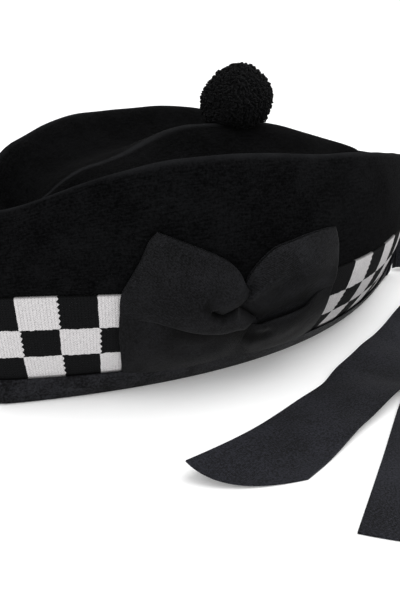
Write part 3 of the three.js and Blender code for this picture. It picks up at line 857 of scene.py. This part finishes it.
# The two halves of the bow, in millimetres from the gather along and up the cap. top, pleat and
# bottom run from the gather to the fold at the end; gather and end run upwards, with the share of
# the ribbon's width in the first column. overlap is how far the pleat lies over itself. rows run
# across the ribbon: shares of the lower part, the upper part and the overlap, which place them, then
# how much of the edge's, the low layer's and the high layer's height, of the puff and of a
# millimetre they take. grooves have a line, a depth, a width, a fade at the ends and whether they
# lie on the line's left only; swells have a place, two radii and a rise; shades have a line, an
# amount and a width, and paint shade (amount below 0) and highlight (above 0) into the colour along
# creases, hollows and rims.
frontCrease = [(-1.5, 12.5), (-4.5, 10.2), (-8, 8.6), (-11.8, 6.7), (-15.5, 4.9), (-18.8, 6.5), (-21.6, 9.1)]
bowFront = {
    "pleatAt": 0.373,
    "root": 3.4,               # height of the gathered cloth over the cap
    "low": 2.7,
    "high": 8.0,
    # painted shade on the lower part and painted light on the upper part, as factors on their colour
    "lowerTone": 0.78,
    "upperTone": 0.96,
    "top": [(-4.3, 13.3), (-6.1, 16.8), (-8.7, 22.4), (-12.8, 27.5), (-18.1, 31.2), (-24.2, 34.6),
            (-32.4, 38.9), (-42.6, 44.6)],
    "pleat": [(2.4, -1.2), (-2.5, -2.8), (-7.7, -2.8), (-12.4, -3.8), (-19.4, -3.4), (-28.5, -1.6),
              (-36.4, 1), (-45.4, 3.6), (-53.9, 5)],
    "bottom": [(4, -22), (-2, -23.4), (-10.3, -25.2), (-20.1, -26.3), (-31, -26.5),
               (-43.3, -26), (-49.5, -25.5)],
    "gather": [(0, 4, -22), (0.2, 2, -12), (0.373, 2.4, -1.2), (0.47, -2.5, 3.2), (0.57, -7.2, 6.9),
               (0.66, -5, 8.8), (0.78, -2, 10.8), (0.9, -2.6, 12.6), (1, -4.3, 13.3)],
    "end": [(0, -49.5, -25.5), (0.245, -53.6, -4.5), (0.373, -53.9, 5), (0.53, -53.6, 16.2),
            (0.65, -51, 24.1), (0.77, -48, 32.2), (0.93, -44.8, 42), (1, -42.6, 44.6)],
    "overlap": 5,
    "rows": [
        (0, 0, 0, 1, 0, 0, 0, 0), (0.12, 0, 0, 1, 0, 0, 0.9, 0), (0.34, 0, 0, 1, 0, 0, 2.4, 0),
        (0.6, 0, 0, 1, 0, 0, 2.3, 0), (0.85, 0, 0, 0.5, 0.5, 0, 0.6, 0), (1, 0, 1, 0, 1, 0, 0, 0),
        (1, 0, 1, 0, 0.5, 0.5, 0, 0), (1, 0, 0, 0, 0.58, 0.42, 0, 0), (1, 0, 0, 0, 0, 1, 0, 0),
        (1, 0.08, 0, 0, 0, 1, 0.7, 0), (1, 0.25, 0, 0, 0, 1, 1.7, 0), (1, 0.45, 0, 0, 0, 1, 1.9, 0),
        (1, 0.65, 0, 0.5, 0, 0.5, 1.6, 0), (1, 0.85, 0, 0.85, 0, 0.15, 0.8, 0), (1, 1, 0, 1, 0, 0, 0, 0),
    ],
    "upperGrooves": [
        (frontCrease[::-1], 2.6, 5.5, 0.12, True),
        (frontCrease, 2.2, 1.1, 0.1),
        ([(-9, 8), (-7.7, 7.2), (-3, 3.2), (1.8, -0.7)], 2.0, 1.0, 0.1),
        ([(-17.5, 20), (-19.3, 16), (-22, 11), (-24, 7)], 1.4, 2.8),
        ([(-30, 27), (-38, 14), (-44, 6)], 0.8, 6),
    ],
    "upperSwells": [(-11, 13.5, 9, 6, 1.6)],
    "lowerGrooves": [([(-8, -9), (-20, -14), (-34, -12)], 0.7, 4)],
    "lowerSwells": [(-47.3, -7.3, 3, 2.2, -0.8)],
    "upperShades": [
        ([(-2, 12.5), (-5, 10.5)] + frontCrease[2:], -0.8, 1.5),
        ([(-17, 5.5), (-20.5, 8.2), (-22.8, 11), (-22.4, 14)], -0.6, 2),
        ([(-9, 8), (-7.7, 7.2), (-3, 3.2), (1.8, -0.7)], -0.7, 1.2),
        ([(-18, 18), (-19.3, 16), (-24, 7)], -0.25, 3),
        ([(-16, 12), (-8, 15)], 0.2, 4),
    ],
    "lowerShades": [
        ([(4, -3), (-2.5, -5.6), (-7.7, -6), (-12.4, -7), (-19.4, -6.6), (-28.5, -4.4), (-38, -1)],
         -0.86, 4.2),
        ([(-6, -8.5), (-1, -9.5), (6, -10)], -0.9, 2.6),
        ([(-15.2, -22.3), (-14, -21.9)], -0.5, 1.6),
        ([(-47.9, -7.6), (-46.7, -7)], -0.5, 1.6),
        ([(4, -10), (0, -16), (2, -20)], -0.5, 3),
    ],
}
bowBack = {
    "pleatAt": 0.47,
    "top": [(-5.6, 17.4), (-3.7, 22.4), (-0.2, 27.1), (6.7, 32.9), (14.9, 35.1), (23.6, 37.2),
            (33.4, 38.4), (39.7, 38.6)],
    "pleat": [(-2.1, -2.6), (2.8, -2.9), (9.2, -1.1), (19.8, 0.7), (27.4, 2.4), (32.2, 6.2),
              (37.9, 7.8), (43.5, 8)],
    "bottom": [(1.5, -22.6), (8, -24), (15.2, -24.8), (27, -24.6), (39.7, -23.6), (46, -19.4)],
    "gather": [(0, 1.5, -22.6), (0.15, -0.2, -19.4), (0.3, -3.5, -13.6), (0.47, -2.1, -2.6),
               (0.58, 1.5, 0), (0.72, -7.5, 7), (0.8, -8, 8.6), (0.87, -5, 10.6), (0.93, -3.8, 13.8),
               (1, -5.6, 17.4)],
    "end": [(0, 46, -19.4), (0.15, 45.8, -10.7), (0.4, 43.7, 3.9), (0.47, 43.5, 8), (0.56, 43.2, 13.5),
            (0.725, 43, 23), (0.89, 41.9, 32.4), (1, 39.7, 38.6)],
    "overlap": 6,
    "root": 2,
    "low": 1.9,
    "high": 6.8,
    "rows": [
        (0, 0, 0, 1, 0, 0, 0, 0), (0.12, 0, 0, 1, 0, 0, 1.2, 0), (0.34, 0, 0, 1, 0, 0, 3.0, 0),
        (0.6, 0, 0, 0.4, 0, 0.6, 2.0, 0), (0.85, 0, 0, 0, 0, 1, 0.6, 0), (1, 0, 0, 0, 0, 1, 0, 0),
        (1, 0, 0, 0, 0.4, 0.6, 0, 0), (1, 0, -1, 0, 0.58, 0.42, 0, 0), (1, 0, -1, 0, 1, 0, 0, 0),
        (1, 0.04, 0, 0, 1, 0, 0, 0.3), (1, 0.15, 0, 0, 1, 0, 0, 1.2),
        (1, 0.32, 0, 0.55, 0.45, 0, 2.64, 0.54), (1, 0.55, 0, 1, 0, 0, 4.9, 0),
        (1, 0.82, 0, 1, 0, 0, 2.5, 0), (1, 1, 0, 1, 0, 0, 0, 0),
    ],
    "upperGrooves": [
        ([(-8.2, 8.3), (-2, 14.5), (4.6, 20.6), (12, 27)], -1.5, 2.4),
        ([(-3, 6), (8, 14), (20, 21)], 0.9, 4.5),
    ],
    "upperSwells": [],
    "lowerGrooves": [
        ([(-4, -4.5), (1, -7), (7, -8), (13, -6.5)], 1.8, 3.2),
        ([(4, -14), (18, -15), (32, -10)], 0.7, 5),
    ],
    "lowerSwells": [],
    # painted shade on the lower part and painted light on the upper part, as factors on their colour
    "lowerTone": 0.6,
    "upperTone": 1.1,
    "upperShades": [
        ([(-10, 9), (-7.7, 7.2), (-3, 3.2), (2.2, -1)], -0.75, 1.5),
        ([(-1, -1.5), (5.7, 1.9), (13, 4.7), (22.5, 7.2), (31, 10)], -0.55, 4),
        ([(-3, 6), (8, 14), (20, 21)], -0.2, 3.5),
        ([(-8.2, 8.3), (-2, 14.5), (4.6, 20.6)], 0.2, 2.2),
    ],
    "lowerShades": [
        ([(-8, -8), (-1, -9.5), (5, -9.5), (10, -8)], -0.9, 2.6),
        ([(-2.1, -2.6), (9.2, -1.1), (19.8, 0.7), (27.4, 2.4), (37.9, 7.8)], 0.25, 1.6),
        ([(3, -14), (14, -16), (26, -12)], -0.2, 4),
    ],
}


# A line of points read at shares of its length, with rounded corners.
def alongLine(line, share):
    line = np.array(line, dtype=float)
    lengths = distances(line)
    lengths /= lengths[-1]
    return np.stack([smoothRead(lengths, column, share) for column in line.T], axis=-1)


# Straight readings of a run of values at even steps, averaged over an interval to round the corners
# and exact at both ends: the weight of each value at each step.
def roundedWeights(steps, count):
    at = np.linspace(0, count - 1, steps + 1)[:, None, None]
    reach = np.minimum(np.minimum(at, count - 1 - at), 0.8)
    shifts = np.linspace(-1, 1, 9)[None, None, :]
    knots = np.arange(count)[None, :, None]
    return np.clip(1 - np.abs(at + reach * shifts - knots), 0, 1).mean(axis=2)


# Distance from a line of points, how far along it the nearest point lies, and the side it is seen on.
def besideLine(x, z, line):
    line = np.array(line, dtype=float)
    best = np.full(x.shape, 1e9)
    share = np.zeros(x.shape)
    side = np.zeros(x.shape)
    for k in range(len(line) - 1):
        start, step = line[k], line[k + 1] - line[k]
        t = np.clip(((x - start[0]) * step[0] + (z - start[1]) * step[1]) / (step @ step), 0, 1)
        gapX = x - start[0] - t * step[0]
        gapZ = z - start[1] - t * step[1]
        gap = np.hypot(gapX, gapZ)
        nearer = gap < best
        best = np.where(nearer, gap, best)
        share = np.where(nearer, (k + t) / (len(line) - 1), share)
        side = np.where(nearer, np.sign(step[0] * gapZ - step[1] * gapX), side)
    return best, share, side


# A groove (or a ridge, if depth is below 0) along a line, which fades at the ends of the line. On the
# left only, it is a step down from the line that comes back over the width.
def groove(x, z, line, depth, width, fade=0.25, leftOnly=False):
    gap, share, side = besideLine(x, z, line)
    ends = smoothStep(0, fade, share) * smoothStep(0, fade, 1 - share)
    lean = smoothStep(-0.9, 0.9, side * gap) if leftOnly else 1
    return -depth * lean * np.exp(-(gap / width) ** 2) * ends


# Relief of one part of a half: its grooves and its swells added up.
def partRelief(x, z, grooves, swells):
    relief = sum(groove(x, z, *entry) for entry in grooves)
    for atX, atZ, radiusX, radiusZ, rise in swells:
        relief = relief + rise * np.exp(-((x - atX) / radiusX) ** 2 - ((z - atZ) / radiusZ) ** 2)
    return relief


# Painted shade (amount below 0) and painted highlight (above 0) along lines such as the creases: 1 where
# nothing changes it.
def shadesAlong(x, z, lines):
    shade = np.ones(x.shape)
    for line, amount, width in lines:
        shade = shade - groove(x, z, line, amount, width, 0.15)
    return np.clip(shade, 0.12, 1.5)


def paintBow(inObject, u, v):
    look = bowLook
    twill = sineOf(u + v, look["twillPitch"])
    cloud = noise(inObject, look["cloudSize"], 3.0)
    speck = noise(inObject, look["speckSize"], 3.0, 0.6)
    tone = smoothRange(cloud * 0.25 + speck * 0.6 + twill * 0.04 + 0.07, *look["toneRange"])
    # The colour is scaled by the painted shade and highlight kept on the mesh.
    colour = scaled(blend(tone, look["dark"], look["light"]), meshShade(u))
    return colour, tone, twill * 0.35 + speck * 0.7


# One half of the bow. Its surface lies between the bottom, pleat and top lines, pulled to the gather
# line at one end and the end line at the other. Across, it runs over the rows, which turn back on
# themselves at the pleat. Along, it goes out as the front layer, round the end and back under. Its
# height over the cap is the rows' plus the relief, and it is laid square to the wall.
def buildBowHalf(name, half, nodes):
    sizes = bowSizes
    steps, turnSteps, backSteps = sizes["frontSteps"], sizes["turnSteps"], sizes["backSteps"]
    out = np.linspace(0, 1, steps + 1)[:-1]
    back = np.linspace(1, 0, backSteps + 1)[1:]
    straight = np.concatenate([out, np.ones(turnSteps + 1), back])
    share = np.concatenate([np.zeros(steps), np.linspace(0, 1, turnSteps + 1), np.ones(backSteps)])
    reach = np.clip(straight * (1 - sizes["turn"]) + sizes["turn"] * np.sin(math.pi * share), 0, 1)
    front = 0.5 + 0.5 * np.cos(math.pi * share)
    pleatAt = half["pleatAt"]
    lines = [alongLine(half[part], reach)[:, None] for part in ("bottom", "pleat", "top")]
    widths = np.linalg.norm(lines[2] - lines[0], axis=-1)[:, 0]
    opening = smoothStep(0, 0.25, reach)
    closing = smoothStep(0.98, 0.4, reach) * front
    fold = half["overlap"] / widths * smoothStep(0.9, 0.4, reach) * front
    edge = sizes["edgeHeight"] + sizes["edgeSwell"] * np.sin(math.pi * reach)
    puff = np.sin(math.pi * reach ** 0.75) * 0.6 + opening * 0.4 * smoothStep(1.05, 0.7, reach)
    low = mix(sizes["endHeight"], half["low"], closing)
    high = mix(sizes["endHeight"], half["high"], closing)
    rows = np.array(half["rows"])
    shares = rows[:, :1] * pleatAt + rows[:, 1:2] * (1 - pleatAt) + rows[:, 2:3] * fold
    heights = rows[:, 3:] @ np.stack([edge, low, high, puff, np.ones_like(reach)])
    weights = roundedWeights(sizes["acrossSteps"], len(rows))
    q = (weights @ shares).T
    height = (weights @ heights).T
    lowerPart = np.clip(q / pleatAt, 0, 1)[..., None]
    upperPart = np.clip((q - pleatAt) / (1 - pleatAt), 0, 1)[..., None]

    def across(bottom, pleat, top):
        return np.where(q[..., None] < pleatAt, mix(bottom, pleat, lowerPart), mix(pleat, top, upperPart))

    flat = across(*lines)
    for key, at, near in (("gather", 0.0, (1 - reach) ** 3), ("end", 1.0, reach ** 3)):
        line = np.array(half[key], dtype=float)
        target = np.stack([smoothRead(line[:, 0], line[:, k], q) for k in (1, 2)], axis=-1)
        corners = [alongLine(half[part], np.array([at]))[0] for part in ("bottom", "pleat", "top")]
        flat = flat + (target - across(*corners)) * near[:, None, None]
    x, z = flat[..., 0], flat[..., 1]
    upper = np.linspace(0, 1, sizes["acrossSteps"] + 1)[None, :] > sizes["upperRow"] / (len(rows) - 1)
    # Painted shade: each part's tone factor times its painted shade and highlight along creases, hollows and
    # rims.
    parts = []
    for part in ("upper", "lower"):
        paintedShade = half[part + "Tone"] * shadesAlong(x, z, half[part + "Shades"])
        parts.append((partRelief(x, z, half[part + "Grooves"], half[part + "Swells"]), paintedShade))
    relief, shade = (np.where(upper, *pair) for pair in zip(*parts))
    inside = smoothStep(0, 0.12, q) * smoothStep(0, 0.1, 1 - q) * smoothStep(1.0, 0.85, reach)[:, None]
    height = mix(half["root"], height + relief * inside, smoothStep(0, 0.14, reach)[:, None])
    height = np.maximum(height, sizes["backLayer"] + sizes["layerGap"])
    height = mix(sizes["backLayer"], height, front[:, None])
    grid = besideWall(sizes["x"] + x, sizes["height"] + z, height)
    acrossV = distances(grid[sizes["measuredStep"]])
    piece = makeSheet(name, grid, sizes["thickness"], acrossV, shade, bowRibbon, nodes)[0]


print("bow")
bowRibbon = clothMaterial("bow_ribbon", bowLook, paintBow)
buildBowHalf("bow_front", bowFront, ["bow_upper_front", "bow_lower_front"])
buildBowHalf("bow_back", bowBack, ["bow_upper_back", "bow_lower_back"])


tailLook = {
    "dark": grey(0.0016, (1, 1.04, 1.42)),
    "light": grey(0.0170, (1, 1.04, 1.42)),
    "relief": 0.18,
    "gloss": 0.12,
    "sheen": 0.03,
    "sheenSpread": 0.4,
    "sheenTint": grey(0.9, (0.95, 0.97, 1)),
    "weavePitch": 0.8,
    "toneRange": (0.37, 0.64),
    "speckSize": 0.0009,
    "cloudSize": 0.03,
    "lint": grey(0.09),
    "lintSize": 0.0021,
    "lintRange": (0.755, 0.80),
    "rough": 0.78,
    "roughChange": -0.1,
}
tabSizes = {
    "angle": 25,               # how far it wraps each side of the back point, in degrees
    "foot": 3.5,
    "height": 33,
    "stand": 2.1,
    "thickness": 0.9,
    "flatHeight": 0.036,       # metres
    "steps": 90,
    "acrossSteps": 24,
}
tailSizes = {
    "width": 38,
    "thickness": 0.85,
    "steps": 230,
    "acrossSteps": 26,
    "curlStart": 0.846,
    "curlPower": 1.77,
    "tabGap": 0.8,
    "floorGap": 0.02,
}
# Places in millimetres from the tab's outside, the turn of the ribbon from flat, and its lift.
upperRoute = np.array([
    (0, -1.1, 88, 2.5), (9.5, -6.1, 84, 1.8), (17.3, -16.9, 70, 1.5), (19.4, -33.1, 50, 1.4),
    (8.4, -46.9, 26, 1.4), (-15.7, -54, 6, 1.5), (-45.6, -63.7, 0, 1.4), (-81.5, -78.3, 0, 1.4),
    (-113.7, -89.3, 0, 1.4), (-135.5, -95.4, 0, 1.2), (-157.7, -103.4, 10, 0.3), (-183.6, -108.3, 5.5, 0),
    (-222.8, -117.8, 0, 0), (-270.5, -126.9, 0, 0),
])
lowerRoute = np.array([
    (0, 1.3, 90, 1), (12.4, 0.6, 88, 0.6), (26.5, -8.9, 76, 0.3), (36.5, -31, 50, 0), (26.5, -54, 22, 0),
    (-1.6, -72, 4, 0), (-39.7, -88, 0, 0), (-89.6, -111.9, 0, 0), (-137.7, -137, 0, 0),
    (-185.5, -164.7, 0, 0), (-233, -191.7, 0, 0),
])
# The cut end's slant, bow and curl as shares of the width; waves have a place, a width, a height and
# a painted shade, which darkens the colour where it is below 0.
upperCut = {
    "slant": 0.8,
    "bow": 0.22,
    "curl": 0.25,
    "waves": [(28, 12, 1.2, 0), (-22, 7, 0, -0.24), (16, 26, 0, -0.2)],
}
lowerCut = {"slant": 0.12, "bow": 0.03, "curl": 0, "waves": []}


def paintTail(inObject, u, v):
    look = tailLook
    weave = sineOf(u, look["weavePitch"]) * sineOf(v, look["weavePitch"])
    cloud = noise(inObject, look["cloudSize"])
    speck = noise(inObject, look["speckSize"], 3.0, 0.65)
    tone = smoothRange(cloud * 0.25 + speck * 0.75, *look["toneRange"])
    # The colour is scaled by the painted shade kept on the mesh.
    colour = scaled(blend(tone, look["dark"], look["light"]), meshShade(u))
    lint = smoothRange(noise(inObject, look["lintSize"], 2.0, 0.8), *look["lintRange"])
    return blend(lint, colour, look["lint"]), tone, weave * 0.4 + speck * 0.8


# The tab follows the outside of the band round the back point: u runs round, v runs up.
def tabPoint(u, v):
    z = tabSizes["foot"] + tabSizes["height"] * v
    angle = np.radians(mix(-tabSizes["angle"], tabSizes["angle"], u))
    return sectionPoint(insetSection(sectionAt(z), -tabSizes["stand"] * levelFactor(z)), angle)


# A smooth curve through route points, its parameter spaced by the root of their distances.
def routePoint(route, t):
    before = 2 * route[0] - route[1]
    after = 2 * route[-1] - route[-2]
    points = np.concatenate([[before], route, [after]])
    at = np.clip(t, 0, 1) * (len(route) - 1)
    k = np.minimum(np.floor(at).astype(int), len(route) - 2)
    w = (at - k)[..., None]
    p0, p1, p2, p3 = (points[k + step] for step in range(4))
    gaps = (p1 - p0, p2 - p1, p3 - p2)
    d0, d1, d2 = (np.sqrt(np.linalg.norm(gap, axis=-1, keepdims=True)) for gap in gaps)
    t1 = ((p1 - p0) / d0 - (p2 - p0) / (d0 + d1) + (p2 - p1) / d1) * d1
    t2 = ((p2 - p1) / d1 - (p3 - p1) / (d1 + d2) + (p3 - p2) / d2) * d1
    bend = w * w * (3 - 2 * w)
    return mix(p1, p2, bend) + t1 * (w - 2 * w * w + w ** 3) + t2 * (w ** 3 - w * w)


# A tail: ribbon carried along its route, turned about one edge by the route's turn. v runs across it,
# the cut end slants and bows, the end curls up towards v = 0, and waves raise it or paint shade on it.
def buildTail(name, route, cutShape, nodes, step=0.002, tip=0.02):
    sizes = tailSizes
    root = tabPoint(np.array(0.5), np.array(1.0))[0] + sizes["tabGap"]
    middle = route[:, :2] + np.array([root, 0])
    t = np.linspace(0, 1, sizes["steps"] + 1)[:, None]
    v = np.linspace(0, 1, sizes["acrossSteps"] + 1)[None, :]
    ends = routePoint(middle, np.array([1 - tip, 1.0]))
    endRate = np.linalg.norm(ends[1] - ends[0]) / tip
    cut = (cutShape["slant"] * v + cutShape["bow"] * (2 * v - 1) ** 2) * sizes["width"]
    u = t * (1 - cut / endRate)
    point = routePoint(middle, u)
    ahead = routePoint(middle, np.clip(u + step, 0, 1)) - routePoint(middle, np.clip(u - step, 0, 1))
    ahead = unitVectors(ahead)
    side = np.stack([ahead[..., 1], -ahead[..., 0]], axis=-1)
    at = u * (len(route) - 1)
    k = np.minimum(np.floor(at).astype(int), len(route) - 2)
    share = smoothStep(0, 1, at - k)
    turn = np.radians(mix(route[k, 2], route[k + 1, 2], share))
    lift = mix(route[k, 3], route[k + 1, 3], share)
    across = (v - 0.5) * sizes["width"]
    flat = point - side * (across * np.cos(turn))[..., None]
    rise = (across + sizes["width"] / 2) * np.sin(turn)
    atEnd = np.maximum((u - sizes["curlStart"]) / (1 - sizes["curlStart"]), 0) ** sizes["curlPower"]
    curled = cutShape["curl"] * sizes["width"] * atEnd * (1 - v) ** 2
    z = lift + sizes["thickness"] / 2 + sizes["floorGap"] + rise + curled
    shade = np.ones(z.shape)
    # Waves raise the ribbon, and some paint shade into its colour.
    for place, width, height, tone in cutShape["waves"]:
        wave = np.exp(-((flat[..., 0] - place) / width) ** 2)
        z = z + height * wave * np.cos(turn)
        shade = shade + tone * wave
    grid = np.concatenate([flat, z[..., None]], axis=-1)
    acrossV = v[0] * sizes["width"]
    thickness = sizes["thickness"]
    piece, length = makeSheet(name, grid, thickness, acrossV, shade, tailRibbon, nodes)


# The tab: one sheet over tabPoint's two directions.
def buildTab():
    sizes = tabSizes
    u = np.linspace(0, 1, sizes["steps"] + 1)[:, None]
    v = np.linspace(0, 1, sizes["acrossSteps"] + 1)[None, :]
    grid = tabPoint(u, v)
    acrossV = v[0] * sizes["height"]
    plain = np.ones(grid.shape[:2])
    nodes = ["tail_tab"]
    thickness = sizes["thickness"]
    piece, length = makeSheet("back_tab", grid, thickness, acrossV, plain, tailRibbon, nodes)


print("tab and tails")
tailRibbon = clothMaterial("tail_ribbon", tailLook, paintTail)
buildTab()
buildTail("lower_tail", lowerRoute, lowerCut, ["tail_lower"])
buildTail("upper_tail", upperRoute, upperCut, ["tail_upper"])


studio = {
    "floorReach": 15,          # metres
    "floorSink": 0.0002,
    "floorTone": 0.9,
    "floorRough": 0.9,
    "floorGloss": 0.1,
    "floorGlow": 0.14,
    "worldTone": 1.0,
    "worldStrength": 1.12,
    "keyPower": 10,
    "keySize": 1.4,
    "keyPlace": (300.0, -500.0, 1500.0),
    "fillPower": 2,
    "fillSize": 1.6,
    "fillPlace": (-1300.0, -900.0, 700.0),
    "lightAim": (0.0, 0.0, 50.0),
}
view = {
    "azimuth": 40.3004,
    "elevation": 21.0560,
    "distance": 544.356,
    "aim": (10.666, 41.409, 0),
    "lens": 54.005,
    "sensor": 36,
    "clipStart": 0.01,         # metres
}


# A pale square a little below the part, which glows enough to stay white.
def buildFloor():
    reach = studio["floorReach"]
    mesh = bpy.data.meshes.new("studio_floor")
    corners = [(-reach, -reach), (reach, -reach), (reach, reach), (-reach, reach)]
    mesh.from_pydata([(x, y, -studio["floorSink"]) for x, y in corners], [], [(0, 1, 2, 3)])
    material = bpy.data.materials.new("studio_floor")
    material.use_nodes = True
    inputs = material.node_tree.nodes["Principled BSDF"].inputs
    inputs["Base Color"].default_value = grey(studio["floorTone"])
    inputs["Roughness"].default_value = studio["floorRough"]
    inputs["Specular IOR Level"].default_value = studio["floorGloss"]
    inputs["Emission Color"].default_value = grey(1)
    inputs["Emission Strength"].default_value = studio["floorGlow"]
    mesh.materials.append(material)
    floor = bpy.data.objects.new("studio_floor", mesh)
    bpy.context.scene.collection.objects.link(floor)


# A round light that looks at the cap.
def addLight(name):
    data = bpy.data.lights.new(name, "AREA")
    data.shape = "DISK"
    data.size = studio[name + "Size"]
    data.energy = studio[name + "Power"]
    light = bpy.data.objects.new(name, data)
    light.location = Vector(place(np.array(studio[name + "Place"])))
    target = Vector(place(np.array(studio["lightAim"])))
    light.rotation_euler = (target - light.location).to_track_quat("-Z", "Y").to_euler()
    bpy.context.scene.collection.objects.link(light)


def buildCamera():
    azimuth = math.radians(view["azimuth"])
    elevation = math.radians(view["elevation"])
    way = np.array([
        -math.sin(azimuth) * math.cos(elevation),
        -math.cos(azimuth) * math.cos(elevation),
        math.sin(elevation),
    ])
    aim = np.array(view["aim"])
    data = bpy.data.cameras.new("camera")
    data.lens = view["lens"]
    data.sensor_width = view["sensor"]
    data.clip_start = view["clipStart"]
    camera = bpy.data.objects.new("camera", data)
    camera.location = Vector(place(aim + way * view["distance"]))
    camera.rotation_euler = Vector(-way).to_track_quat("-Z", "Y").to_euler()
    bpy.context.scene.collection.objects.link(camera)
    bpy.context.scene.camera = camera


print("floor, light and camera")
buildFloor()
addLight("key")
addLight("fill")
world = bpy.data.worlds.new("studio")
world.use_nodes = True
world.node_tree.nodes["Background"].inputs["Color"].default_value = grey(studio["worldTone"])
world.node_tree.nodes["Background"].inputs["Strength"].default_value = studio["worldStrength"]
bpy.context.scene.world = world
bpy.context.scene.view_settings.view_transform = "Standard"
buildCamera()
